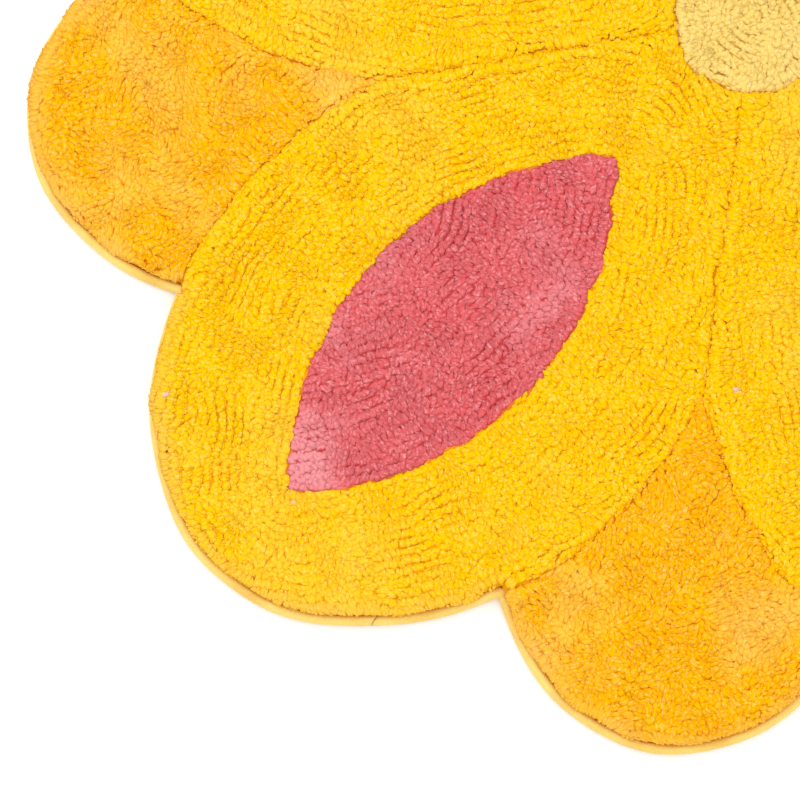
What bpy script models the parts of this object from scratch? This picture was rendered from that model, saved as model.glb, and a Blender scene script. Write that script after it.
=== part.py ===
"""A flower-shaped, hand-tufted cotton rug lying flat on the floor.

Cut pile stands on a ground cloth as one flat solid with a rounded shoulder. The seams between its
colour fields are carved a little lower, and a folded cotton tape is sewn round the edge as a binding.

Metres, +Z up, the floor at z = 0, the origin under the middle of the rug's box.
"""

import math

import bmesh
import bpy
import numpy as np
from mathutils.geometry import delaunay_2d_cdt

# The flower: large petals in front, and smaller ones that show between them
PETALS = 5
FIRST_PETAL = math.radians(10)
PETAL_STEP = 2 * math.pi / PETALS
FRONT_PETAL = {"middle": 0.270, "half_length": 0.200, "half_width": 0.150}
BACK_PETAL = {"middle": 0.270, "half_length": 0.178, "half_width": 0.128}
EYE_RADIUS = 0.048

# The hand-cut edge wanders a little: a share of the radius, the waves to a turn and where they start
EDGE_WAVES = (
    {"share": 0.0040, "waves": 7, "phase": 1.1},
    {"share": 0.0022, "waves": 16, "phase": 0.4},
    {"share": 0.0012, "waves": 37, "phase": 2.2},
)

# The pile over the floor
PILE_HEIGHT = 0.0130
EDGE_HEIGHT = 0.0062
SHOULDER_WIDTH = 0.016
SHOULDER_ROWS = (0.0, 0.0035, 0.009, 0.017)
CARVE_DEPTH = 0.0024
CARVE_HALF_WIDTH = 0.0055
UNEVENNESS = 0.0005

# The binding tape, in (distance in from the edge, height) round its section
TAPE_WIDTH = 0.0065
TAPE_GAP = 0.0003
TAPE_JOIN_ANGLE = math.radians(238)
TAPE_JOIN_GAP = 0.0006
TAPE_SECTION = (
    (0.0005, 0.0),
    (0.0, 0.0022),
    (0.0008, 0.0056),
    (0.0025, 0.0074),
    (0.0046, 0.0072),
    (TAPE_WIDTH, 0.0056),
    (TAPE_WIDTH, 0.0),
)

# The mesh's own spacings
EDGE_SPACING = 0.0135
SEAM_SPACING = 0.013
FIELD_SPACING = 0.036
CLEAR_OF_SEAM = 0.0045

YELLOW = (0.97, 0.56, 0.01)
PALE_YELLOW = (0.90, 0.60, 0.14)


def clear_scene():
    for old in list(bpy.data.objects):
        bpy.data.objects.remove(old, do_unlink=True)


def cloth(name, colour, roughness):
    material = bpy.data.materials.new(name)
    material.use_nodes = True
    shader = material.node_tree.nodes["Principled BSDF"]
    shader.inputs["Base Color"].default_value = (*colour, 1)
    shader.inputs["Roughness"].default_value = roughness
    shader.inputs["Metallic"].default_value = 0
    return material


def petal_reach(angle, first, petal):
    """How far each direction runs before it leaves the ring of petals, each of them an ellipse."""
    turn = (angle - first + PETAL_STEP / 2) % PETAL_STEP - PETAL_STEP / 2
    middle, a, b = petal["middle"], petal["half_length"], petal["half_width"]
    square = (np.cos(turn) / a) ** 2 + (np.sin(turn) / b) ** 2
    linear = middle * np.cos(turn) / a**2
    rest = (middle / a) ** 2 - 1
    return (linear + np.sqrt(np.maximum(linear**2 - square * rest, 0))) / square


def wander(angle):
    return 1 + sum(w["share"] * np.sin(w["waves"] * angle + w["phase"]) for w in EDGE_WAVES)


def front_reach(angle):
    return petal_reach(angle, FIRST_PETAL, FRONT_PETAL) * wander(angle)


def back_reach(angle):
    return petal_reach(angle, FIRST_PETAL + PETAL_STEP / 2, BACK_PETAL) * wander(angle)


def rug_reach(angle):
    return np.maximum(front_reach(angle), back_reach(angle))


def spaced(reach, start, end, spacing):
    """Points of a curve given by its reach at each angle, evenly apart from start up to end."""
    angle = np.linspace(start, end, 400)
    x, y = reach(angle) * np.cos(angle), reach(angle) * np.sin(angle)
    along = np.concatenate([[0], np.cumsum(np.hypot(np.diff(x), np.diff(y)))])
    count = max(2, round(along[-1] / spacing))
    stops = np.linspace(0, along[-1], count + 1)
    return np.stack([np.interp(stops, along, x), np.interp(stops, along, y)], 1)


def notch_angles():
    """Where a front petal's edge passes over to a back petal's, going round, by halving the interval."""
    found = []
    for k in range(PETALS):
        petal = FIRST_PETAL + k * PETAL_STEP
        for low, high in ((petal, petal + PETAL_STEP / 2), (petal + PETAL_STEP, petal + PETAL_STEP / 2)):
            for _ in range(50):
                half = (low + high) / 2
                if front_reach(half) > back_reach(half):
                    low = half
                else:
                    high = half
            found.append(half)
    return found


def rug_outline():
    notches = notch_angles()
    ends = notches[1:] + [notches[0] + 2 * math.pi]
    arcs = [spaced(rug_reach, a, b, EDGE_SPACING)[:-1] for a, b in zip(notches, ends, strict=True)]
    return np.concatenate(arcs)


def inset(outline, distance):
    """The outline moved in by a distance, each corner along its own mitre."""
    ahead = np.roll(outline, -1, 0) - outline
    ahead /= np.linalg.norm(ahead, axis=1, keepdims=True)
    inward = np.stack([-ahead[:, 1], ahead[:, 0]], 1)
    mitre = inward + np.roll(inward, 1, 0)
    mitre /= (mitre * inward).sum(1, keepdims=True)
    return outline + distance * mitre


def seam_lines():
    """The carved seams: round each back petal, between the front petals, and round the eye."""
    notches = notch_angles()
    lines = []
    for k in range(PETALS):
        valley = FIRST_PETAL + (k + 0.5) * PETAL_STEP
        down = spaced(front_reach, notches[2 * k], valley, SEAM_SPACING)
        up = spaced(front_reach, valley, notches[2 * k + 1], SEAM_SPACING)
        lines.append(np.concatenate([down, up[1:]])[1:-1])
        deep = down[-1]
        count = round((np.linalg.norm(deep) - EYE_RADIUS) / SEAM_SPACING)
        share = np.linspace(EYE_RADIUS / np.linalg.norm(deep), 1, count + 1)[1:-1]
        lines.append(share[:, None] * deep)
    turns = np.linspace(0, 2 * math.pi, round(2 * math.pi * EYE_RADIUS / SEAM_SPACING) + 1)
    lines.append(EYE_RADIUS * np.stack([np.cos(turns), np.sin(turns)], 1))
    return lines


def distance_to(points, line):
    """The distance from each point to the nearest stretch of a line of points."""
    start, step = line[:-1], np.diff(line, axis=0)
    away = points[:, None] - start
    share = np.clip((away * step).sum(2) / (step**2).sum(1), 0, 1)
    return np.linalg.norm(away - share[..., None] * step, axis=2).min(1)


def seam_distance(points, seams):
    return np.min([distance_to(points, line) for line in seams], axis=0)


def pile_height(points, edge, seams):
    """An elliptical shoulder up from the edge, less the carved seams, with a slight unevenness."""
    x, y = points.T
    inside = np.minimum(distance_to(points, np.vstack([edge, edge[:1]])) / SHOULDER_WIDTH, 1)
    shoulder = np.sqrt(1 - (1 - inside) ** 2)
    carve = np.maximum(1 - seam_distance(points, seams) / CARVE_HALF_WIDTH, 0) ** 1.5
    lumps = np.sin(31 * x + 2.1 * np.sin(17 * y)) * np.cos(27 * y + 1.3 * np.sin(23 * x))
    full = PILE_HEIGHT - EDGE_HEIGHT - CARVE_DEPTH * carve + UNEVENNESS * lumps
    return EDGE_HEIGHT + full * shoulder


def lattice():
    """Points of a triangular lattice over the whole rug."""
    reach = FRONT_PETAL["middle"] + FRONT_PETAL["half_length"]
    rows = np.arange(-reach, reach, FIELD_SPACING * math.sqrt(3) / 2)
    columns = np.arange(-reach, reach, FIELD_SPACING)
    x, y = np.meshgrid(columns, rows)
    x = x + (np.arange(len(rows)) % 2 * FIELD_SPACING / 2)[:, None]
    return np.stack([x.ravel(), y.ravel()], 1)


def free_points(edge, seams):
    """Points of the pile's surface besides the edge and the seams: shoulder rows, carved sides, lattice."""
    rows = np.concatenate([inset(edge, distance) for distance in SHOULDER_ROWS[1:]])
    sides = []
    for line in seams:
        ahead = np.gradient(line, axis=0)
        ahead /= np.linalg.norm(ahead, axis=1, keepdims=True)
        across = CARVE_HALF_WIDTH * np.stack([-ahead[:, 1], ahead[:, 0]], 1)
        sides += [line + across, line - across]
    sides = np.concatenate(sides)
    field = lattice()
    closed = np.vstack([edge, edge[:1]])
    deep = SHOULDER_ROWS[-1]
    within = np.hypot(*field.T) < rug_reach(np.arctan2(field[:, 1], field[:, 0]))
    field = field[within & (distance_to(field, closed) > deep + FIELD_SPACING / 3)]
    field = field[seam_distance(field, seams) > FIELD_SPACING / 2.5]
    rows = rows[seam_distance(rows, seams) > CARVE_HALF_WIDTH]
    sides = sides[seam_distance(sides, seams) > CLEAR_OF_SEAM]
    sides = sides[distance_to(sides, closed) > deep + CLEAR_OF_SEAM]
    return np.concatenate([rows, sides, field])


def triangulated(points, edges):
    found = delaunay_2d_cdt([tuple(p) for p in points.tolist()], edges, [], 1, 1e-6)
    return np.array([tuple(v) for v in found[0]]), found[2]


def loop_edges(first, count, closed):
    edges = [(first + k, first + k + 1) for k in range(count - 1)]
    return edges + [(first + count - 1, first)] if closed else edges


def solid(name, vertices, faces, material, sharp_degrees):
    mesh = bpy.data.meshes.new(name)
    mesh.from_pydata([tuple(v) for v in vertices], [], faces)
    shape = bmesh.new()
    shape.from_mesh(mesh)
    bmesh.ops.recalc_face_normals(shape, faces=shape.faces[:])
    shape.to_mesh(mesh)
    shape.free()
    mesh.shade_smooth()
    mesh.set_sharp_from_angle(angle=math.radians(sharp_degrees))
    mesh.materials.append(material)
    piece = bpy.data.objects.new(name, mesh)
    bpy.context.scene.collection.objects.link(piece)
    return piece


def make_rug(edge, seams, middle):
    """The pile's uneven upper face, the straight cut edge and the flat underside, closed together."""
    count = len(edge)
    points, edges = [edge], loop_edges(0, count, closed=True)
    for line in seams:
        edges += loop_edges(sum(len(p) for p in points), len(line), closed=False)
        points.append(line)
    points.append(free_points(edge, seams))
    flat, top_faces = triangulated(np.concatenate(points), edges)
    heights = pile_height(flat, edge, seams)
    top = np.column_stack([flat - middle, heights])
    _, under_faces = triangulated(edge, loop_edges(0, count, closed=True))
    under = np.column_stack([edge - middle, np.zeros(count)])
    first = len(top)
    around = [(k, (k + 1) % count, first + (k + 1) % count, first + k) for k in range(count)]
    beneath = [tuple(first + k for k in face) for face in under_faces]
    faces = [*top_faces, *around, *beneath]
    return solid("rug", np.concatenate([top, under]), faces, cloth("pile", YELLOW, 0.95), 50)


def make_binding(outline, middle):
    """The tape's section carried once round the outline, from one end of the tape to the other."""
    angles = np.arctan2(outline[:, 1], outline[:, 0])
    join = np.argmin(np.abs(np.exp(1j * angles) - np.exp(1j * TAPE_JOIN_ANGLE)))
    rows = []
    for distance, height in TAPE_SECTION:
        around = np.roll(inset(outline, distance), -join, 0)
        around = np.vstack([around, around[:1]])
        for end, beside in ((0, 1), (-1, -2)):
            ahead = around[beside] - around[end]
            around[end] += ahead / np.linalg.norm(ahead) * TAPE_JOIN_GAP / 2
        rows.append(np.column_stack([around - middle, np.full(len(around), height)]))
    rows = np.stack(rows, 1)
    steps, sides = rows.shape[:2]
    faces = [
        (i * sides + j, i * sides + (j + 1) % sides, (i + 1) * sides + (j + 1) % sides, (i + 1) * sides + j)
        for i in range(steps - 1)
        for j in range(sides)
    ]
    faces.append(tuple(range(sides)))
    faces.append(tuple((steps - 1) * sides + j for j in range(sides)))
    tape = cloth("binding_tape", PALE_YELLOW, 0.8)
    return solid("binding", rows.reshape(-1, 3), faces, tape, 60)


clear_scene()
outline = rug_outline()
box_middle = (outline.max(0) + outline.min(0)) / 2
make_rug(inset(outline, TAPE_WIDTH + TAPE_GAP), seam_lines(), box_middle)
make_binding(outline, box_middle)
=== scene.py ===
"""The looks of a flower-shaped, hand-tufted cotton rug that lies flat on the floor.

The pile is thousands of small tufts standing on the ground cloth in rows that follow each coloured
field, and a folded cotton tape runs round the edge. Metres, +Z up, the floor at z = 0.
"""

import math

import bpy
import numpy as np
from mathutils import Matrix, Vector


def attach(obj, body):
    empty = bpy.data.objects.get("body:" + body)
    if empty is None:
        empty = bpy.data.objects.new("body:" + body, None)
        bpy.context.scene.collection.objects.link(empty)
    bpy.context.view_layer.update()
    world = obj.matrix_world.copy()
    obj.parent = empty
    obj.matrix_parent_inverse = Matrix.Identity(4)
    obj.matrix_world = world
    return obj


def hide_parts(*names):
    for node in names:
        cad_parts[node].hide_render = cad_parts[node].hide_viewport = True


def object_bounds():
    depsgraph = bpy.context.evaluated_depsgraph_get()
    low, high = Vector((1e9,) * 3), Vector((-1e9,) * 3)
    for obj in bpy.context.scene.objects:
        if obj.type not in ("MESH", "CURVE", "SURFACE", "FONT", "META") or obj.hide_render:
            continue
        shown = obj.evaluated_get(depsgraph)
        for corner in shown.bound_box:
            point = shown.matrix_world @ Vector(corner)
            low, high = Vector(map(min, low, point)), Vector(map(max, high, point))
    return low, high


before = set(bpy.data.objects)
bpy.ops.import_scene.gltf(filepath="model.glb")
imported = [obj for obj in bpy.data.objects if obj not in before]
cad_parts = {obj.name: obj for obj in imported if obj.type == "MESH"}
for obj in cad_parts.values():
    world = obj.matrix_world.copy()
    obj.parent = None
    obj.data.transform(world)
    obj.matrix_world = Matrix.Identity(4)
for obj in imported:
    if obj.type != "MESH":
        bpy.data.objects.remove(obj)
cad_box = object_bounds()

# Ground cloth: the cotton cloth that every tuft is punched through, with the imported feet of the pile
# on it. It is one flat slab cut to the flower's outline, a millimetre lower than the pile's tips, so
# that it shows only as the bottom of a crevice. Its top is the yarn's colour made deeper than at the
# tips, a painted shade for the crevice bottoms. Its underside is the plain backing.

PETALS = 5
PETAL_STEP = 2 * math.pi / PETALS
FIRST_PETAL = math.radians(10)
FRONT_PETAL = {"middle": 0.270, "half_length": 0.200, "half_width": 0.150}
BACK_PETAL = {"middle": 0.270, "half_length": 0.178, "half_width": 0.128}
EYE_RADIUS = 0.048
LEAF = {"middle": 0.262, "half_length": 0.142, "half_width": 0.060}
EDGE_WAVES = ((0.0040, 7, 1.1), (0.0022, 16, 0.4), (0.0012, 37, 2.2))
TAPE_WIDTH = 0.0065
PILE_HEIGHT = 0.0130
EDGE_HEIGHT = 0.0064
SHOULDER_WIDTH = 0.022
CARVE_DEPTH = 0.0017
CARVE_HALF_WIDTH = 0.0055
SWELL, SWELL_LENGTH = 0.00026, 0.05
GROUND_BELOW_PILE = 0.0010
GROUND_TROUGH = 0.006
CURVE_STEPS = 7200
OUTLINE_POINTS = 900
SEED = 7


def petal_reach(angle, first, petal):
    """How far each direction runs inside a ring of petals, by where a ray leaves an ellipse."""
    turn = (angle - first + PETAL_STEP / 2) % PETAL_STEP - PETAL_STEP / 2
    middle, a, b = petal["middle"], petal["half_length"], petal["half_width"]
    square = (np.cos(turn) / a) ** 2 + (np.sin(turn) / b) ** 2
    linear = middle * np.cos(turn) / a**2
    rest = (middle / a) ** 2 - 1
    return (linear + np.sqrt(np.maximum(linear**2 - square * rest, 0))) / square


def wander(angle):
    """The hand-cut edge's unevenness: one plus a few sine waves round the turn."""
    return 1 + sum(share * np.sin(waves * angle + phase) for share, waves, phase in EDGE_WAVES)


def front_reach(angle):
    """How far the front petals reach in each direction, times the edge's unevenness."""
    return petal_reach(angle, FIRST_PETAL, FRONT_PETAL) * wander(angle)


def rug_reach(angle):
    """How far the rug reaches in each direction: the further of its front and its back petals."""
    back = petal_reach(angle, FIRST_PETAL + PETAL_STEP / 2, BACK_PETAL) * wander(angle)
    return np.maximum(front_reach(angle), back)


def around(reach, count):
    """Points of a closed curve given by its reach, evenly apart along it."""
    angle = np.linspace(0, 2 * math.pi, CURVE_STEPS)
    x, y = reach(angle) * np.cos(angle), reach(angle) * np.sin(angle)
    along = np.concatenate([[0], np.cumsum(np.hypot(np.diff(x), np.diff(y)))])
    stops = np.linspace(0, along[-1], count, endpoint=False)
    return np.stack([np.interp(stops, along, x), np.interp(stops, along, y)], 1)


def inset(line, distance):
    """A closed line moved in by a distance, each corner along its own mitre."""
    ahead = np.roll(line, -1, 0) - line
    ahead /= np.linalg.norm(ahead, axis=1, keepdims=True)
    inward = np.stack([-ahead[:, 1], ahead[:, 0]], 1)
    mitre = inward + np.roll(inward, 1, 0)
    mitre /= (mitre * inward).sum(1, keepdims=True)
    return line + distance * mitre


def closed(line):
    """A ring of points with its first point again at the end."""
    return np.vstack([line, line[:1]])


outline = around(rug_reach, OUTLINE_POINTS)
rug_middle = (outline.max(0) + outline.min(0)) / 2
pile_edge = inset(outline, TAPE_WIDTH)


def away_from(points, lines):
    """The straight way to each point from the nearest place on any of the lines."""
    best, way = np.full(len(points), np.inf), np.zeros_like(points)
    for line in lines:
        for start, end in zip(line[:-1], line[1:], strict=True):
            step = end - start
            off = points - start
            off -= np.clip(off @ step / (step @ step), 0, 1)[:, None] * step
            near = np.hypot(*off.T)
            closer = near < best
            best[closer], way[closer] = near[closer], off[closer]
    return way


def distance_to(points, lines):
    """The length of the straight way to each point from the nearest of the lines."""
    return np.hypot(*away_from(points, lines).T)


def seam_lines():
    """The carved seams: down and up beside each back petal, between front petals, and round the eye."""
    lines = []
    for k in range(PETALS):
        valley = FIRST_PETAL + (k + 0.5) * PETAL_STEP
        angle = valley + np.linspace(-0.5, 0.5, 61) * PETAL_STEP
        shown = front_reach(angle) < rug_reach(angle) - 1e-9
        angle = angle[shown]
        side = front_reach(angle)[:, None] * np.stack([np.cos(angle), np.sin(angle)], 1)
        deep = front_reach(np.array([valley]))[0]
        toward = np.array([math.cos(valley), math.sin(valley)])
        lines += [side, np.array([EYE_RADIUS * toward, deep * toward])]
    turns = np.linspace(0, 2 * math.pi, 49)
    lines.append(EYE_RADIUS * np.stack([np.cos(turns), np.sin(turns)], 1))
    return lines


seams = seam_lines()


def pile_height(edge_distance, seam_distance):
    """The pile's tips over the floor: an elliptical shoulder up from the tape, less the carved seams."""
    inside = np.clip(edge_distance / SHOULDER_WIDTH, 0, 1)
    shoulder = np.sqrt(1 - (1 - inside) ** 2)
    carve = np.maximum(1 - seam_distance / CARVE_HALF_WIDTH, 0) ** 1.5
    return EDGE_HEIGHT + (PILE_HEIGHT - EDGE_HEIGHT - CARVE_DEPTH * carve) * shoulder


def soft_field(points, wavelength, waves=14, seed=0):
    """A smooth uneven field and its slope: the sum of plane sine waves in random directions."""
    pick = np.random.default_rng(SEED + seed)
    heading = pick.uniform(0, 2 * math.pi, waves)
    length = wavelength * pick.uniform(0.7, 1.5, waves)
    phase = pick.uniform(0, 2 * math.pi, waves)
    k = 2 * math.pi / length * np.stack([np.cos(heading), np.sin(heading)])
    angle = points @ k + phase
    scale = math.sqrt(2 / waves)
    return scale * np.sin(angle).sum(1), scale * np.cos(angle) @ k.T


def swell(points):
    """Where the pile stands a little higher or lower, in broad soft swells."""
    return SWELL * soft_field(points, SWELL_LENGTH, seed=4)[0]


def petal_frame(points, first):
    """Each point seen from the petal it lies in: along the petal's axis and across it."""
    angle = np.arctan2(points[:, 1], points[:, 0])
    turn = (angle - first + PETAL_STEP / 2) % PETAL_STEP - PETAL_STEP / 2
    radius = np.hypot(*points.T)
    return radius * np.cos(turn), radius * np.sin(turn)


def leaf_distance(points):
    """The signed distance to the pointed leaf on a front petal: the meeting of two discs."""
    along, across = petal_frame(points, FIRST_PETAL)
    h, w = LEAF["half_length"], LEAF["half_width"]
    radius = (h * h + w * w) / (2 * w)
    along, across = np.abs(along - LEAF["middle"]), np.abs(across)
    past_tip = (along - h) * (radius - w) > across * h
    return np.where(past_tip, np.hypot(across, along - h), np.hypot(across + radius - w, along) - radius)


YELLOW, AMBER, ROSE, CREAM = range(4)


def field_of(points):
    """Which colour each point is tufted in: eye, leaf, front petal or back petal."""
    radius = np.hypot(*points.T)
    on_front = radius < front_reach(np.arctan2(points[:, 1], points[:, 0]))
    field = np.where(on_front, YELLOW, AMBER)
    field = np.where(leaf_distance(points) < 0, ROSE, field)
    return np.where(radius < EYE_RADIUS, CREAM, field)


def new_mesh(name, points, faces):
    """A mesh from whole arrays: its points, and its faces as rows of three or four corner numbers."""
    mesh = bpy.data.meshes.new(name)
    faces = [np.asarray(f, np.int32) for f in faces if len(f)]
    corners = np.concatenate([f.ravel() for f in faces])
    sizes = np.concatenate([np.full(len(f), f.shape[1], np.int32) for f in faces])
    mesh.vertices.add(len(points))
    mesh.vertices.foreach_set("co", np.asarray(points, np.float32).ravel())
    mesh.loops.add(len(corners))
    mesh.loops.foreach_set("vertex_index", corners)
    mesh.polygons.add(len(sizes))
    mesh.polygons.foreach_set("loop_start", np.cumsum(sizes, dtype=np.int32) - sizes)
    mesh.polygons.foreach_set("use_smooth", np.ones(len(sizes), bool))
    mesh.update(calc_edges=True)
    mesh.validate()
    piece = bpy.data.objects.new(name, mesh)
    bpy.context.scene.collection.objects.link(piece)
    return piece


class Dye:
    """A value that changes over a material. Sums and products of such values add Math nodes."""

    def __init__(self, tree, socket=None):
        self.tree, self.socket = tree, socket

    def node(self, kind, settings=None, sockets=None, output=0):
        """Adds any node: its settings first, then the values or links of its sockets."""
        made = self.tree.nodes.new(kind)
        for name, value in (settings or {}).items():
            setattr(made, name, value)
        for name, value in (sockets or {}).items():
            if isinstance(value, Dye):
                self.tree.links.new(value.socket, made.inputs[name])
            else:
                made.inputs[name].default_value = value
        return Dye(self.tree, made.outputs[output])

    def math(self, operation, *terms):
        """One Math node of this operation on the terms."""
        return self.node("ShaderNodeMath", {"operation": operation}, dict(enumerate(terms)))

    def __add__(self, other):
        return self.math("ADD", self, other)

    def __sub__(self, other):
        return self.math("SUBTRACT", self, other)

    def __rsub__(self, other):
        return self.math("SUBTRACT", other, self)

    def __mul__(self, other):
        return self.math("MULTIPLY", self, other)

    __radd__, __rmul__ = __add__, __mul__

    def parts(self, count):
        """The first few numbers of a vector."""
        split = self.tree.nodes.new("ShaderNodeSeparateXYZ")
        self.tree.links.new(self.socket, split.inputs[0])
        return [Dye(self.tree, split.outputs[k]) for k in range(count)]

    def clamped(self, low, high):
        """The value held between two limits."""
        return self.node("ShaderNodeClamp", {}, {"Value": self, "Min": low, "Max": high})

    def between(self, dark, light):
        """The colour that lies this share of the way from one colour to another."""
        mix = {"data_type": "RGBA", "clamp_factor": True}
        colours = {6: shade(dark), 7: shade(light)}
        return self.node("ShaderNodeMix", mix, {0: self, **colours}, 2)


def shade(colour):
    """A plain colour gets its alpha, and one that changes over the material stays as it is."""
    return colour if isinstance(colour, Dye) else (*colour, 1)


def attribute(tree, name, output="Fac"):
    """What is stored on the mesh's points under a name: a number, a colour or a vector."""
    made = tree.nodes.new("ShaderNodeAttribute")
    made.attribute_name = name
    return Dye(tree, made.outputs[output])


def noise(tree, **sockets):
    """A cloudy value, even round a half."""
    return Dye(tree).node("ShaderNodeTexNoise", {}, sockets)


def product(tree, *vectors):
    """Two vectors or colours multiplied part by part."""
    return Dye(tree).node("ShaderNodeVectorMath", {"operation": "MULTIPLY"}, dict(enumerate(vectors)))


def bumped(tree, shader, relief, strength, distance):
    """Raises the surface by a relief, as far as a distance in metres."""
    sockets = {"Strength": strength, "Distance": distance, "Height": relief}
    bump = Dye(tree).node("ShaderNodeBump", {}, sockets)
    tree.links.new(bump.socket, shader.inputs["Normal"])


def new_cloth(name, roughness, sheen=0.0):
    """A matt cloth material: its node tree and its Principled shader."""
    material = bpy.data.materials.new(name)
    material.use_nodes = True
    tree = material.node_tree
    shader = tree.nodes["Principled BSDF"]
    shader.inputs["Roughness"].default_value = roughness
    shader.inputs["Specular IOR Level"].default_value = 0.15
    shader.inputs["Sheen Weight"].default_value = sheen
    shader.inputs["Sheen Roughness"].default_value = 0.5
    return material, tree, shader


# Yarn colours of the pile's feet, deeper than the tips' colours: a painted shade for the bottom of the
# crevices. A fine random mottle darkens them further in places.
SHADED_FEET_COLOURS = {
    YELLOW: (0.930, 0.435, 0.0005),
    AMBER: (0.870, 0.370, 0.001),
    ROSE: (0.640, 0.066, 0.074),
    CREAM: (0.760, 0.460, 0.090),
}
FEET_SHADE = (0.80, 0.65, 0.50)
ANGLES, RINGS = 300, 40
RINGS_BY_EDGE = (0.982, 0.992, 1)
GROUND_EDGE_SLOPE = 2.5


def make_ground():
    """A grid in polar form: out over the top, down the cut edge, and back under to the middle."""
    angle = np.linspace(0, 2 * math.pi, ANGLES, endpoint=False)
    edge = np.interp(angle, *unrolled(pile_edge))
    share = np.concatenate([np.linspace(0, 0.97, RINGS - 2)[1:], RINGS_BY_EDGE])
    flat = (share[:, None] * edge)[..., None] * np.stack([np.cos(angle), np.sin(angle)], 1)
    points = flat.reshape(-1, 2)
    inside = distance_to(points, [closed(pile_edge[::3])])
    beside_trough = np.maximum(distance_to(points, seams) - GROUND_TROUGH, 0)
    height = pile_height(inside + TAPE_WIDTH, beside_trough) + swell(points) - GROUND_BELOW_PILE
    height = np.minimum(height, EDGE_HEIGHT + GROUND_EDGE_SLOPE * inside)
    top = np.column_stack([points, height])
    under = top.reshape(RINGS, ANGLES, 3)[::-1].copy()
    under[..., 2] = 0
    rings = np.concatenate([top.reshape(RINGS, ANGLES, 3), under])
    first, last = [[0, 0, PILE_HEIGHT - GROUND_BELOW_PILE]], [[0, 0, 0]]
    vertices = np.concatenate([first, rings.reshape(-1, 3), last])
    vertices[:, :2] -= rug_middle
    here = np.arange(ANGLES)
    beside = np.roll(here, -1)
    ring = 1 + ANGLES * np.arange(2 * RINGS - 1)[:, None]
    quads = np.stack([ring + here, ring + ANGLES + here, ring + ANGLES + beside, ring + beside], 2)
    fan = np.stack([np.zeros(ANGLES, int), 1 + here, 1 + beside], 1)
    final = 1 + ANGLES * (2 * RINGS - 1)
    close = np.stack([np.full(ANGLES, len(vertices) - 1), final + beside, final + here], 1)
    return vertices, [quads.reshape(-1, 4), fan, close]


def unrolled(line):
    """A closed line's angles, in order, and its reach at each, ready for interpolation."""
    angle = np.arctan2(line[:, 1], line[:, 0]) % (2 * math.pi)
    order = np.argsort(angle)
    angle, reach = angle[order], np.hypot(*line.T)[order]
    return np.concatenate([angle - 2 * math.pi, angle, angle + 2 * math.pi]), np.tile(reach, 3)


vertices, faces = make_ground()
ground = new_mesh("ground_cloth", vertices, faces)
field = field_of(vertices[:, :2] + rug_middle)
tint = np.array([(*SHADED_FEET_COLOURS[f], 1) for f in range(4)], np.float32)[field]
ground.data.attributes.new("yarn", "FLOAT_COLOR", "POINT").data.foreach_set("color", tint.ravel())
material, tree, shader = new_cloth("pile_feet", 1.0)
yarn = attribute(tree, "yarn", "Color")
feet = noise(tree, Scale=900.0, Detail=2.0)
dark = product(tree, yarn, FEET_SHADE)
tree.links.new(feet.between(dark, yarn).socket, shader.inputs["Base Color"])
ground.data.materials.append(material)

BACKING_DARK, BACKING_PALE = (0.50, 0.39, 0.25), (0.62, 0.50, 0.34)
material, tree, shader = new_cloth("backing_cloth", 0.9)
place = Dye(tree).node("ShaderNodeTexCoord", output="Object")
threads = noise(tree, Vector=place, Scale=700.0, Detail=3.0)
tree.links.new(threads.between(BACKING_DARK, BACKING_PALE).socket, shader.inputs["Base Color"])
ground.data.materials.append(material)
normals = np.zeros(len(ground.data.polygons) * 3, np.float32)
ground.data.polygons.foreach_get("normal", normals)
beneath = (normals.reshape(-1, 3)[:, 2] < -0.9).astype(np.int32)
ground.data.polygons.foreach_set("material_index", beneath)
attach(ground, "root")
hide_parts("rug")

# Pile: short bundles of cut cotton yarn, punched through the cloth in rows and sheared level. Each is
# a little upside-down cone, narrow where it comes through the cloth and splayed at its cut tip, and
# its splayed strands mesh with its neighbours'.

TUFT_PITCH = 0.00277
ROW_WIDTH = 0.0060
ROW_GAP = 0.0001
CRACK_GAP = 0.0003
TUFT_SIDES = 5
CAP_WIDTH = 0.0050
CAP_DOME = 0.00064
TUFT_LENGTH = 0.0046
TAPE_SHOWS = 0.0062
TAPE_HIDDEN = 0.0019
TAPE_UNEVEN = 0.0008
PILE_OVERHANG = 0.0006
EDGE_RINGS = ((0.0003, 0.0028), (0.0015, 0.0034), (0.0030, 0.0046))
EDGE_PITCH = 0.0019
OUTLINE_LENGTH = np.linalg.norm(np.diff(closed(outline), axis=0), axis=1).sum()

draw = np.random.default_rng(SEED)


def patchy(points, wavelength, seed, mean, swing, low, high):
    """A share that comes and goes in patches: a mean plus a swing of an uneven field, kept in limits."""
    return np.clip(mean + swing * soft_field(points, wavelength, seed=seed)[0], low, high)


ROW_WAVER = 0.0012


def row_distance(points, field):
    """How far each point is into its field, which sets its row of tufting: round the leaf on a front
    petal, along one side inside the leaf, round the outline on a back petal, and round the eye."""
    along, across = petal_frame(points, FIRST_PETAL)
    h, w = LEAF["half_length"], LEAF["half_width"]
    radius = (h * h + w * w) / (2 * w)
    leaf_rows = np.hypot(along - LEAF["middle"], across + radius - w)
    back_along, back_across = petal_frame(points, FIRST_PETAL + PETAL_STEP / 2)
    a, b = BACK_PETAL["half_length"], BACK_PETAL["half_width"]
    back_rows = b * np.hypot((back_along - BACK_PETAL["middle"]) / a, back_across / b)
    rows = np.choose(field, [leaf_distance(points), back_rows, leaf_rows, np.hypot(*points.T)])
    return rows + ROW_WAVER * soft_field(points, 0.045, seed=11)[0]


PROBE = 1e-4


def rise_of(function, points, *field):
    """How much a value grows over two probes' length, eastward and northward."""
    dx, dy = np.array([PROBE, 0]), np.array([0, PROBE])
    east = function(points + dx, *field) - function(points - dx, *field)
    north = function(points + dy, *field) - function(points - dy, *field)
    return np.stack([east, north], 1)


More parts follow.
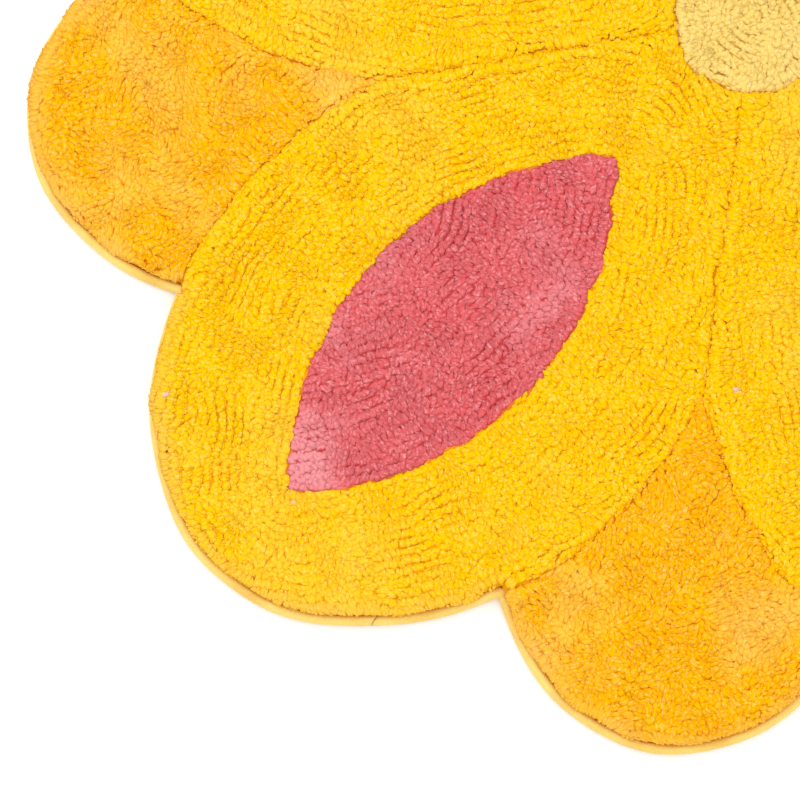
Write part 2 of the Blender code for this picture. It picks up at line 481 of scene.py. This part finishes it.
def slope_of(function, points, *field):
    """The direction in which a distance grows, by central differences."""
    rise = rise_of(function, points, *field)
    return rise / np.maximum(np.linalg.norm(rise, axis=1, keepdims=True), 1e-9)


def short_of_edge(points):
    """How much further than each point the rug reaches in that point's direction."""
    return rug_reach(np.arctan2(points[:, 1], points[:, 0])) - np.hypot(*points.T)


MEASURED_STRAIGHT = 0.012


def into_rug(points):
    """How far each point is inside the outline, and the way in: the reach less the radius is a height
    whose slope points in, and over that slope it is about the distance. By the edge the distance is
    the straight one to the outline."""
    slope = rise_of(short_of_edge, points) / (2 * PROBE)
    steep = np.linalg.norm(slope, axis=1)
    inside = short_of_edge(points) / steep
    near = np.abs(inside) < MEASURED_STRAIGHT
    inside[near] = np.sign(inside[near]) * distance_to(points[near], [closed(outline)])
    return inside, slope / steep[:, None]


def bare_tape(points, inward):
    """How much of the tape the pile leaves bare: nearly all of it on the side towards -Y, where the
    pile was pressed back, and little elsewhere, with an uneven edge."""
    near_side = np.clip(1.4 * inward[:, 1] + 0.1, 0, 1)
    uneven = TAPE_UNEVEN * soft_field(points, 0.030, seed=12)[0]
    bare = TAPE_HIDDEN + (TAPE_SHOWS - TAPE_HIDDEN) * near_side + uneven
    return np.minimum(bare, TAPE_WIDTH + 0.0002)


LATTICE_REACH, LATTICE_TURN = 0.48, 0.3
LATTICE_FROM_EDGE = 0.0042
MISPLACED = 0.00045


def stitches():
    """A triangular lattice of tufts over the whole rug, each knocked a little out of place, and three
    rings of thin tufts set closer together along its edge. Returns their places and cap widths."""
    across = np.arange(-LATTICE_REACH, LATTICE_REACH, TUFT_PITCH)
    up = np.arange(-LATTICE_REACH, LATTICE_REACH, TUFT_PITCH * math.sqrt(3) / 2)
    x, y = np.meshgrid(across, up)
    x = x + (np.arange(len(y)) % 2 * TUFT_PITCH / 2)[:, None]
    points = np.stack([x.ravel(), y.ravel()], 1)
    c, s = math.cos(LATTICE_TURN), math.sin(LATTICE_TURN)
    points = points @ np.array([[c, s], [-s, c]])
    points += draw.normal(0, MISPLACED, points.shape)
    points = points[short_of_edge(points) > 0]
    inside, inward = into_rug(points)
    points = points[inside > bare_tape(points, inward) + LATTICE_FROM_EDGE]
    places, widths = [points], [np.full(len(points), CAP_WIDTH)]
    for step, width in EDGE_RINGS:
        line = around(rug_reach, round(OUTLINE_LENGTH / EDGE_PITCH))
        inward = into_rug(line)[1]
        ring = line + (bare_tape(line, inward) + step)[:, None] * inward
        places.append(ring + draw.normal(0, MISPLACED, ring.shape))
        widths.append(np.full(len(ring), width))
    return np.concatenate(places), np.concatenate(widths)


def lined_up(points, way, first_row, reach):
    """Tufts near a colour's edge moved out from it, so that the first row stands along the edge: a
    distance d short of the reach becomes first_row + d (1 - first_row / reach)."""
    distance = np.hypot(*way.T)
    moved = np.where(distance < reach, first_row * (1 - distance / reach), 0)
    return points + moved[:, None] * way / np.maximum(distance, 1e-9)[:, None]


RAGGED_FINE, RAGGED_BROAD = 0.0004, 0.0007


def unruly(points):
    """Points moved a little by two uneven fields, so that a colour's edge read there comes out ragged."""
    fine = np.stack([soft_field(points, 0.008, seed=s)[0] for s in (14, 15)], 1)
    broad = np.stack([soft_field(points, 0.026, seed=s)[0] for s in (16, 17)], 1)
    return points + RAGGED_FINE * fine + RAGGED_BROAD * broad


FIRST_BY_SEAM, FIRST_BY_LEAF, LINED_UP_WITHIN = 0.0010, 0.0012, 0.0040
BUNCHING = 0.00060

tips, cap_width = stitches()
tips = lined_up(tips, away_from(unruly(tips), seams), FIRST_BY_SEAM, LINED_UP_WITHIN)
to_leaf = leaf_distance(unruly(tips))
leaf_way = to_leaf[:, None] * slope_of(leaf_distance, tips)
tips = lined_up(tips, leaf_way, FIRST_BY_LEAF, LINED_UP_WITHIN)
field = field_of(unruly(tips))
edge_distance = distance_to(tips, [closed(outline[::3])])
border = bare_tape(tips, into_rug(tips)[1]) - PILE_OVERHANG
rows = row_distance(tips, field)
into_row = slope_of(row_distance, tips, field)
bunched = patchy(tips, 0.032, seed=1, mean=0.5, swing=0.6, low=0.1, high=1.2)
tips += (BUNCHING * bunched * np.sin(2 * math.pi * rows / ROW_WIDTH))[:, None] * into_row


AMBER_ROWS = 0.6
CRACKS_FROM_EDGE = 0.012
CRACK_PUSH = 0.0007


def parted(points, field):
    """Where the pile parts: each point's row, counted in row widths, and how open the rows are there;
    its distance in millimetres to a winding crack, and how open that is; and the way off the crack.

    A crack is the zero line of an uneven field: the field over its slope is the distance to it. No
    crack runs out over the edge, and the shaggy amber's rows are more closed."""
    row = row_distance(points, field) / ROW_WIDTH
    lively = patchy(points, 0.090, seed=13, mean=0.65, swing=0.4, low=0.2, high=1)
    lively *= np.where(field == AMBER, AMBER_ROWS, 1)
    open_rows = lively * patchy(points, 0.040, seed=1, mean=0.60, swing=0.35, low=0.1, high=0.95)
    wind, slope = soft_field(points, 0.024, seed=2)
    steep = np.linalg.norm(slope, axis=1)
    from_crack = np.clip(1000 * wind / np.maximum(steep, 60), -4, 4)
    lively *= np.clip(short_of_edge(points) / CRACKS_FROM_EDGE - 0.6, 0, 1)
    cracked = lively * patchy(points, 0.022, seed=3, mean=-0.4, swing=0.8, low=0, high=0.6)
    away = np.sign(from_crack)[:, None] * slope / np.maximum(steep, 1e-6)[:, None]
    return row, open_rows, from_crack, cracked, away


row, open_rows, from_crack, cracked, away = parted(tips, field)
tips += (CRACK_PUSH * cracked * np.exp(-((from_crack / 1.5) ** 2)))[:, None] * away
seam_distance = distance_to(tips, seams)
outward = -slope_of(short_of_edge, tips)

HEIGHT_JITTER, ROSE_HEIGHT_JITTER = 0.00019, 0.00024
SWAY, SHAGGY_SWAY, LEAN_JITTER = 0.0004, 0.0012, 0.0003
COMBED_LEAN, BRUSHED_LEAN, BRUSHED_WIDTH = 0.0018, 0.0021, 0.016

height = pile_height(edge_distance, seam_distance)
uneven = np.where(field == ROSE, ROSE_HEIGHT_JITTER, HEIGHT_JITTER)
height += swell(tips) + uneven * draw.normal(0, 1, len(tips))

combed = patchy(tips, 0.040, seed=10, mean=0.25, swing=0.8, low=0, high=1)
sway = np.stack([soft_field(tips, 0.035, seed=5)[0], soft_field(tips, 0.035, seed=6)[0]], 1)
shaggy = np.where(field == AMBER, 1.0, 0.0)[:, None]
brushed = np.clip(1.2 - edge_distance / BRUSHED_WIDTH, 0, 1)
lean = (SWAY + SHAGGY_SWAY * shaggy) * sway + draw.normal(0, LEAN_JITTER, tips.shape)
along_row = (COMBED_LEAN * combed)[:, None] * (1 - 0.5 * shaggy) * into_row
lean += along_row + (BRUSHED_LEAN * brushed)[:, None] * outward


def set_values(piece, name, values, kind="FLOAT"):
    """A value, or a row of three, for each of a mesh's points."""
    store = piece.data.attributes.new(name, kind, "POINT")
    key = "value" if kind == "FLOAT" else "vector"
    store.data.foreach_set(key, np.asarray(values, np.float32).ravel())


RAGGED_TUFT, RAGGED_POINT = 0.0005, 0.00025
LEAF_OVERLAP, LEAF_LIMIT = 0.0003, 0.008
SEAM_NEAR, SEAM_PULL = 0.006, 0.7


def kept_apart(tip, rim, field, border):
    """Draws each rim point back to its own tuft's side of a row line, a crack and a colour's edge.

    Its distance to the line, less a jitter that keeps the line ragged, says how far back it goes.
    Returns the rim, and how far each point was drawn back from a row line or a crack."""
    sides = len(rim) // len(tip)
    ragged = np.repeat(draw.normal(0, RAGGED_TUFT, len(tip)), sides)
    ragged = ragged + draw.normal(0, RAGGED_POINT, len(rim))
    each = np.repeat(field, sides)
    row, open_rows, from_crack, cracked, away = parted(rim, each)
    tip_row, _, tip_crack, _, _ = (np.repeat(v, sides, 0) for v in parted(tip, field))
    side = np.sign(tip_row - np.round(tip_row))
    inside = side * (row - np.round(tip_row)) * ROW_WIDTH + ragged
    off_row = np.maximum(ROW_GAP / 2 - inside, 0) * 0.85 * open_rows
    rim = rim + (side * off_row)[:, None] * slope_of(row_distance, rim, each)
    inside = np.sign(tip_crack) * from_crack / 1000 + ragged
    off_crack = np.maximum(CRACK_GAP / 2 - inside, 0) * cracked * (np.abs(tip_crack) < 3)
    rim = rim + (off_crack * np.sign(tip_crack) * np.sign(from_crack))[:, None] * away
    wavy_tip, wavy = unruly(tip), unruly(rim)
    side = np.sign(np.repeat(leaf_distance(wavy_tip), sides))
    inside = side * leaf_distance(wavy) + 0.7 * ragged
    past_edge = np.maximum(-LEAF_OVERLAP - inside, 0) * (inside > -LEAF_LIMIT)
    rim = rim + (side * past_edge)[:, None] * slope_of(leaf_distance, rim)
    tip_way = away_from(wavy_tip, seams)
    near = np.flatnonzero(np.repeat(np.hypot(*tip_way.T) < SEAM_NEAR, sides))
    way = away_from(wavy[near], seams)
    past_seam = (way * np.repeat(tip_way, sides, 0)[near]).sum(1) < 0
    rim[near[past_seam]] -= way[past_seam] * draw.uniform(0, SEAM_PULL, (past_seam.sum(), 1))
    inside, inward = into_rug(rim)
    rim += np.maximum(np.repeat(border, sides) + 0.8 * ragged - inside, 0)[:, None] * inward
    return rim, off_row + off_crack


def spot(angle, radius):
    """The place at each angle on a circle of this radius."""
    return radius * np.stack([np.cos(angle), np.sin(angle)], 2)


RIM_ON_MAP, FOOT_ON_MAP = 0.41, 0.46


def own_map(piece, count, ring):
    """A map with a square cell for each tuft: its tip in the middle, its rim round that, and its foot
    beyond each rim edge, so that no two faces share a place."""
    across = math.ceil(math.sqrt(count))
    middle = np.stack([np.arange(count) % across, np.arange(count) // across], 1) + 0.5
    half = (ring + np.roll(ring, -1, 1)) / 2
    half[:, -1] += math.pi
    rim, foot = spot(ring, RIM_ON_MAP), spot(half, FOOT_ON_MAP)
    beside = np.roll(rim, -1, 1)
    cap = np.stack([0 * rim, rim, beside], 2)
    side = np.stack([foot, beside, rim], 2)
    cells = np.concatenate([(part + middle[:, None, None]).reshape(-1, 2) for part in (cap, side)])
    layer = piece.data.uv_layers.new(name="OFBake")
    assert len(layer.uv) == len(cells)
    layer.uv.foreach_set("vector", (cells / across).astype(np.float32).ravel())


ANGLE_JITTER, TUFT_JITTER, RIM_JITTER, DROP_JITTER = 0.16, 0.08, 0.15, 0.25
FLATTER = 0.68
LOWEST_RIM, LOWEST_FOOT = 0.0062, 0.0006
PARTING_DROP = 0.3
WORN_WIDTH = 0.012


def tuft_mesh(name, chosen):
    """Upside-down cones from whole arrays: for each tuft one tip, a rim round it and one foot.

    The rim is a ring of points round the tip, stretched along the tuft's lean, jittered, and lowered
    where the pile parts. The foot lies a tuft's length lower and a lean back from the tip."""
    count = len(chosen)
    tip = np.column_stack([tips[chosen], height[chosen]])
    leaned = lean[chosen]
    far = np.linalg.norm(leaned, axis=1)
    heading = np.arctan2(leaned[:, 1], leaned[:, 0])
    start = draw.uniform(0, 2 * math.pi, count)[:, None]
    ring = start + 2 * math.pi * np.arange(TUFT_SIDES) / TUFT_SIDES
    ring = ring + draw.normal(0, ANGLE_JITTER, ring.shape)
    size = cap_width[chosen] / 2 * draw.normal(1, TUFT_JITTER, count)
    size = size[:, None] * draw.normal(1, RIM_JITTER, ring.shape)
    stretch = 1.2 + np.minimum(far / 0.0028, 0.8)
    along, across = size * np.cos(ring) * stretch[:, None], 0.88 * size * np.sin(ring)
    c, s = np.cos(heading)[:, None], np.sin(heading)[:, None]
    rim = tip[:, None, :2] + np.stack([c * along - s * across, s * along + c * across], 2)
    rim, parting = kept_apart(tips[chosen], rim.reshape(-1, 2), field[chosen], border[chosen])
    rim = rim.reshape(*ring.shape, 2)
    tilt = np.minimum(far / 0.004, 0.5)[:, None]
    drop = CAP_DOME * draw.normal(1, DROP_JITTER, ring.shape) + tilt * along
    drop *= np.where(field[chosen] == ROSE, 1, FLATTER)[:, None]
    drop += PARTING_DROP * parting.reshape(ring.shape)
    rim = np.concatenate([rim, np.maximum(tip[:, 2:] - drop, LOWEST_RIM)[..., None]], 2)
    foot = tip - np.column_stack([leaned, np.full(count, TUFT_LENGTH)])
    foot[:, 2] = np.maximum(foot[:, 2], LOWEST_FOOT)
    points = np.concatenate([tip[:, None], rim, foot[:, None]], 1)
    points[..., :2] -= rug_middle
    each = points.shape[1]
    first = each * np.arange(count)[:, None]
    here = 1 + np.arange(TUFT_SIDES)
    beside = np.roll(here, -1)
    cap = np.stack([first + 0 * here, first + here, first + beside], 2)
    side = np.stack([first + each - 1 + 0 * here, first + beside, first + here], 2)
    piece = new_mesh(name, points.reshape(-1, 3), [cap.reshape(-1, 3), side.reshape(-1, 3)])
    own_map(piece, count, ring)
    depth = np.zeros((count, each))
    depth[:, 1:-1], depth[:, -1] = drop, TUFT_LENGTH
    strand = np.zeros((count, each, 3))
    strand[..., :2] = draw.uniform(0, 1, (count, 1, 2))
    strand[:, 1:-1, 0] += along
    strand[:, 1:-1, 1] += across
    strand[:, -1, 0] -= TUFT_LENGTH
    set_values(piece, "lot", np.repeat(draw.uniform(0, 1, count), each))
    worn = np.clip(1.15 - edge_distance[chosen] / WORN_WIDTH, 0, 1)
    set_values(piece, "worn", np.repeat(worn, each))
    set_values(piece, "depth", depth)
    set_values(piece, "strand", strand, "FLOAT_VECTOR")
    whole = (points[..., :2] + rug_middle).reshape(-1, 2)
    row, open_rows, from_crack, cracked, _ = parted(whole, np.repeat(field[chosen], each))
    set_values(piece, "rows", np.column_stack([row, open_rows, 0 * row]), "FLOAT_VECTOR")
    set_values(piece, "cracks", np.column_stack([from_crack, cracked, 0 * row]), "FLOAT_VECTOR")
    return piece


STRAND_GRAIN = (260, 750, 1)
PATCH_SCALE, FLUFF_SCALE = 9.0, 750.0
TUFT_FLECK, STRAND_FLECK, FLUFF_FLECK = 0.40, 3.2, 2.6
LIGHTER = 0.75
LINT, LINT_FROM_LOT = (0.72, 0.50, 0.50), 0.9998


def pile_finish(name, colour, deep, pale, tan, patches, shadow):
    """Dyed cotton, with light and shade painted into its colour: paler in broad soft patches where the
    nap catches the light, a painted sheen; flecked by each tuft's own shade, its strands and its fluff,
    the palest flecks partly a painted highlight of shining fibres; turned to the deep colour down the
    sides and in the partings, a painted shade; and worn tan along the rug's edge. A few tufts hold a bit
    of pale lint."""
    material, tree, shader = new_cloth(name, 0.95)
    shader.inputs["Specular IOR Level"].default_value = 0.0
    place = Dye(tree).node("ShaderNodeTexCoord", output="Object")
    strand = attribute(tree, "strand", "Vector")
    streak = noise(tree, Vector=product(tree, strand, STRAND_GRAIN), Scale=1.0, Detail=2.0)
    patch = noise(tree, Vector=place, Scale=PATCH_SCALE, Detail=5.0, Roughness=0.62)
    fluff = noise(tree, Vector=place, Scale=FLUFF_SCALE, Detail=3.0)
    lot, depth = attribute(tree, "lot"), attribute(tree, "depth")
    rows, open_rows = attribute(tree, "rows", "Vector").parts(2)
    from_crack, cracked = attribute(tree, "cracks", "Vector").parts(2)
    row_line = (1 - rows.math("PINGPONG", rows, 0.5) * 11).clamped(0, 1) * open_rows
    crack = (1 - from_crack.math("ABSOLUTE", from_crack) * 2).clamped(0, 1) * cracked
    parting = row_line.math("MAXIMUM", row_line * 0.9, crack)
    # Painted sheen: broad patches where the nap catches the light turn paler, and where it turns away
    # they turn deeper.
    broad = (patch - 0.5) * patches
    # Each tuft's own shade, its strands and its fluff; the palest flecks are partly a painted highlight
    # of shining fibres.
    flecks = (lot - 0.5) * TUFT_FLECK + (streak - 0.5) * STRAND_FLECK + (fluff - 0.5) * FLUFF_FLECK
    lighter = tuple(c + LIGHTER * (p - c) for c, p in zip(colour, pale, strict=True))
    top = (flecks - 0.05).clamped(0, 1).between(broad.clamped(0, 1).between(colour, lighter), pale)
    # Painted shade: the colour turns to the deep one down each tuft's sides and in the row partings and
    # cracks, and also in the darker patches and flecks.
    painted_shade = (depth * shadow - 0.20 + parting * 0.40 - (broad + flecks) * 0.7).clamped(0, 1)
    worn = attribute(tree, "worn") * (0.75 + (streak - 0.5) * 2.0 + (patch - 0.5) * 2.5)
    dyed = worn.clamped(0, 1).between(painted_shade.between(top, deep), tan)
    lint = ((lot - LINT_FROM_LOT) * 10000).clamped(0, 0.8) * (1 - depth * 4000).clamped(0, 1)
    tree.links.new(lint.between(dyed, LINT).socket, shader.inputs["Base Color"])
    bumped(tree, shader, streak * 0.6 + fluff * 0.9 - parting * 0.5, 0.55, 0.0010)
    return material


def lay_pile(prefix, wanted, count, first, material):
    """One piece of pile for each petal's field of one colour."""
    angle = np.arctan2(tips[:, 1], tips[:, 0])
    petal = np.floor((angle - first) / (2 * math.pi / count) + 0.5).astype(int) % count
    made = []
    for k in range(count):
        chosen = np.flatnonzero((field == wanted) & (petal == k))
        piece = tuft_mesh(f"{prefix}_{k + 1}" if count > 1 else prefix, chosen)
        piece.data.materials.append(material)
        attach(piece, "root")
        made.append(piece)
    return made


# Each finish's deep colour is its painted shade, its pale colour partly a painted highlight of shining
# fibres, and its lighter patches a painted sheen of the nap.
yellow = pile_finish(
    "yellow_cotton",
    colour=(0.980, 0.530, 0.0004),
    deep=(0.955, 0.470, 0.0),
    pale=(0.99, 0.640, 0.115),
    tan=(0.82, 0.475, 0.080),
    patches=1.8,
    shadow=200,
)
pile = lay_pile("front_petal_pile", YELLOW, PETALS, FIRST_PETAL, yellow)

# Back petals: amber cotton, tufted in rows round each petal's own outline between the front petals,
# and left a little shaggier, so that their rows part less.

amber = pile_finish(
    "amber_cotton",
    colour=(0.980, 0.455, 0.0004),
    deep=(0.915, 0.400, 0.001),
    pale=(0.99, 0.600, 0.140),
    tan=(0.86, 0.45, 0.090),
    patches=4.0,
    shadow=240,
)
pile += lay_pile("back_petal_pile", AMBER, PETALS, FIRST_PETAL + PETAL_STEP / 2, amber)

# Leaves: a pointed leaf of rose cotton tufted into the middle of each front petal, its rows following
# one of its long sides. Its tips are the least evenly sheared.

rose = pile_finish(
    "rose_cotton",
    colour=(0.668, 0.120, 0.130),
    deep=(0.680, 0.094, 0.102),
    pale=(0.84, 0.32, 0.34),
    tan=(0.60, 0.20, 0.15),
    patches=6.4,
    shadow=380,
)
pile += lay_pile("leaf_pile", ROSE, PETALS, FIRST_PETAL, rose)

# Eye: a small disc of cream cotton where the petals meet, tufted in rings. A carved seam divides it
# from the petals.

cream = pile_finish(
    "cream_cotton",
    colour=(0.860, 0.590, 0.150),
    deep=(0.820, 0.510, 0.100),
    pale=(0.94, 0.70, 0.28),
    tan=(0.70, 0.46, 0.12),
    patches=1.2,
    shadow=300,
)
pile += lay_pile("eye_pile", CREAM, 1, 0, cream)

# Binding: a cotton tape folded over the cut edge and sewn down all the way round, its two ends meeting
# in one slanting join. Seen from above it is a smooth pale strip outside the pile.

TAPE_JOIN_ANGLE = math.radians(238)
TAPE_JOIN_GAP = 0.0005
TAPE_JOIN_SLANT = 0.0045
TAPE_STEPS = 1100
TAPE_PUCKER, PUCKER_LENGTH = 0.00022, 0.016
# The tape's two mottle colours, and the brown of a painted contact shadow along its foot.
TAPE_DARK, TAPE_PALE, TAPE_CONTACT_SHADOW = (0.76, 0.47, 0.090), (0.90, 0.63, 0.165), (0.30, 0.20, 0.10)
TAPE_SECTION = (
    (0.0012, 0.0),
    (0.0004, 0.0008),
    (0.0, 0.0024),
    (0.0003, 0.0044),
    (0.0012, 0.0062),
    (0.0028, 0.0072),
    (0.0044, 0.0071),
    (0.0056, 0.0064),
    (0.0063, 0.0050),
    (0.0064, 0.0020),
    (0.0058, 0.0),
)


def read_along(row, stops):
    """A closed row of points read at any number of steps along it, whole or not."""
    count = len(row)
    at = np.arange(count + 1)
    return np.stack([np.interp(stops % count, at, column) for column in closed(row).T], 1)


def make_tape():
    """The folded tape's section carried round the outline, from one end of the tape to the other, a
    little puckered. Each thread of it starts further along the nearer it lies to the pile, which
    slants the join."""
    line = around(rug_reach, TAPE_STEPS)
    step = OUTLINE_LENGTH / TAPE_STEPS
    turn = np.abs(np.arctan2(line[:, 1], line[:, 0]) % (2 * math.pi) - TAPE_JOIN_ANGLE)
    rows = []
    for distance, level in TAPE_SECTION:
        row = inset(line, distance)
        pucker = TAPE_PUCKER * soft_field(row, PUCKER_LENGTH, seed=21)[0] * (level > 0.001)
        row = np.column_stack([row - rug_middle, level + pucker])
        first = np.argmin(turn) + TAPE_JOIN_SLANT * (distance / TAPE_WIDTH) ** 1.5 / step
        stops = first + np.linspace(TAPE_JOIN_GAP / step, TAPE_STEPS, TAPE_STEPS)
        rows.append(read_along(row, stops))
    rows = np.stack(rows, 1)
    steps, sides = rows.shape[:2]
    i, j = np.meshgrid(np.arange(steps - 1), np.arange(sides), indexing="ij")
    k = (j + 1) % sides
    quads = np.stack([i * sides + j, i * sides + k, (i + 1) * sides + k, (i + 1) * sides + j], 2)
    caps = [[0, n + 1, n] for n in range(1, sides - 1)]
    last = (steps - 1) * sides
    caps += [[last, last + n, last + n + 1] for n in range(1, sides - 1)]
    return rows.reshape(-1, 3), [quads.reshape(-1, 4), np.array(caps)]


tape_points, tape_faces = make_tape()
tape = new_mesh("binding_tape", tape_points, tape_faces)
material, tree, shader = new_cloth("cotton_tape", 0.85, sheen=0.15)
place = Dye(tree).node("ShaderNodeTexCoord", output="Object")
weave = noise(tree, Vector=place, Scale=900.0, Detail=2.0)
stain = noise(tree, Vector=place, Scale=40.0, Detail=4.0)
level = place.parts(3)[2]
worn = (stain - 0.5) * 2.6 + (weave - 0.5) * 1.6 + 0.5
tape_colour = worn.clamped(0, 1).between(TAPE_DARK, TAPE_PALE)
# Painted contact shadow: the tape turns brown over its lowest two millimetres, where it meets the floor.
painted_contact_shadow = (1 - level * 500).clamped(0, 1) * 0.75
tree.links.new(painted_contact_shadow.between(tape_colour, TAPE_CONTACT_SHADOW).socket, shader.inputs["Base Color"])
bumped(tree, shader, weave, 0.4, 0.0003)
tape.data.materials.append(material)
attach(tape, "root")
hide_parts("binding")

# The ground cloth is one sheet, cut to the outline, and the pile and the tape go with it.

# Floor, light and camera: a plain pale floor under soft even light, seen from almost straight above
# as the rug was, close enough that it runs out of the picture at the top and at the right.

FLOOR_SIDE = 6
FLOOR_COLOUR = (0.93, 0.93, 0.93, 1)
SKY_STRENGTH = 1.19
bpy.ops.mesh.primitive_plane_add(size=FLOOR_SIDE)
floor = bpy.context.object
floor.name = "floor"
material, tree, shader = new_cloth("pale_floor", 0.9)
shader.inputs["Base Color"].default_value = FLOOR_COLOUR
floor.data.materials.append(material)

world = bpy.data.worlds.new("studio")
bpy.context.scene.world = world
world.use_nodes = True
sky = world.node_tree.nodes["Background"]
sky.inputs["Color"].default_value = (1, 1, 1, 1)
sky.inputs["Strength"].default_value = SKY_STRENGTH


def soft_light(name, place, target, size, watts):
    """A round lamp that faces its target."""
    lamp = bpy.data.lights.new(name, "AREA")
    lamp.shape, lamp.size, lamp.energy = "DISK", size, watts
    holder = bpy.data.objects.new(name, lamp)
    bpy.context.scene.collection.objects.link(holder)
    holder.location = place
    holder.rotation_euler = (Vector(target) - Vector(place)).to_track_quat("-Z", "Y").to_euler()


soft_light("key", (-1.3, 1.1, 1.6), (0, 0, 0), 1.6, 11)
soft_light("fill", (1.4, -1.2, 1.8), (0, 0, 0), 1.8, 5)

MM_PER_PIXEL = 0.6
PICTURE_SIDE = 800
LEFT_MARGIN, BOTTOM_MARGIN = 22, 48
picture_width = PICTURE_SIDE * MM_PER_PIXEL / 1000
corner = np.array(cad_box[0][:2]) - np.array([LEFT_MARGIN, BOTTOM_MARGIN]) * MM_PER_PIXEL / 1000
aim = Vector((*(corner + picture_width / 2), PILE_HEIGHT / 2))
CAMERA_DISTANCE = 1.6
CAMERA_TILT = math.radians(6)
SENSOR_WIDTH = 36
camera = bpy.data.cameras.new("camera")
camera.sensor_width = SENSOR_WIDTH
camera.lens = SENSOR_WIDTH * CAMERA_DISTANCE / picture_width
view = bpy.data.objects.new("camera", camera)
bpy.context.scene.collection.objects.link(view)
view.location = aim + CAMERA_DISTANCE * Vector((0, -math.sin(CAMERA_TILT), math.cos(CAMERA_TILT)))
view.rotation_euler = (CAMERA_TILT, 0, 0)
bpy.context.scene.camera = view
bpy.context.scene.view_settings.view_transform = "Standard"
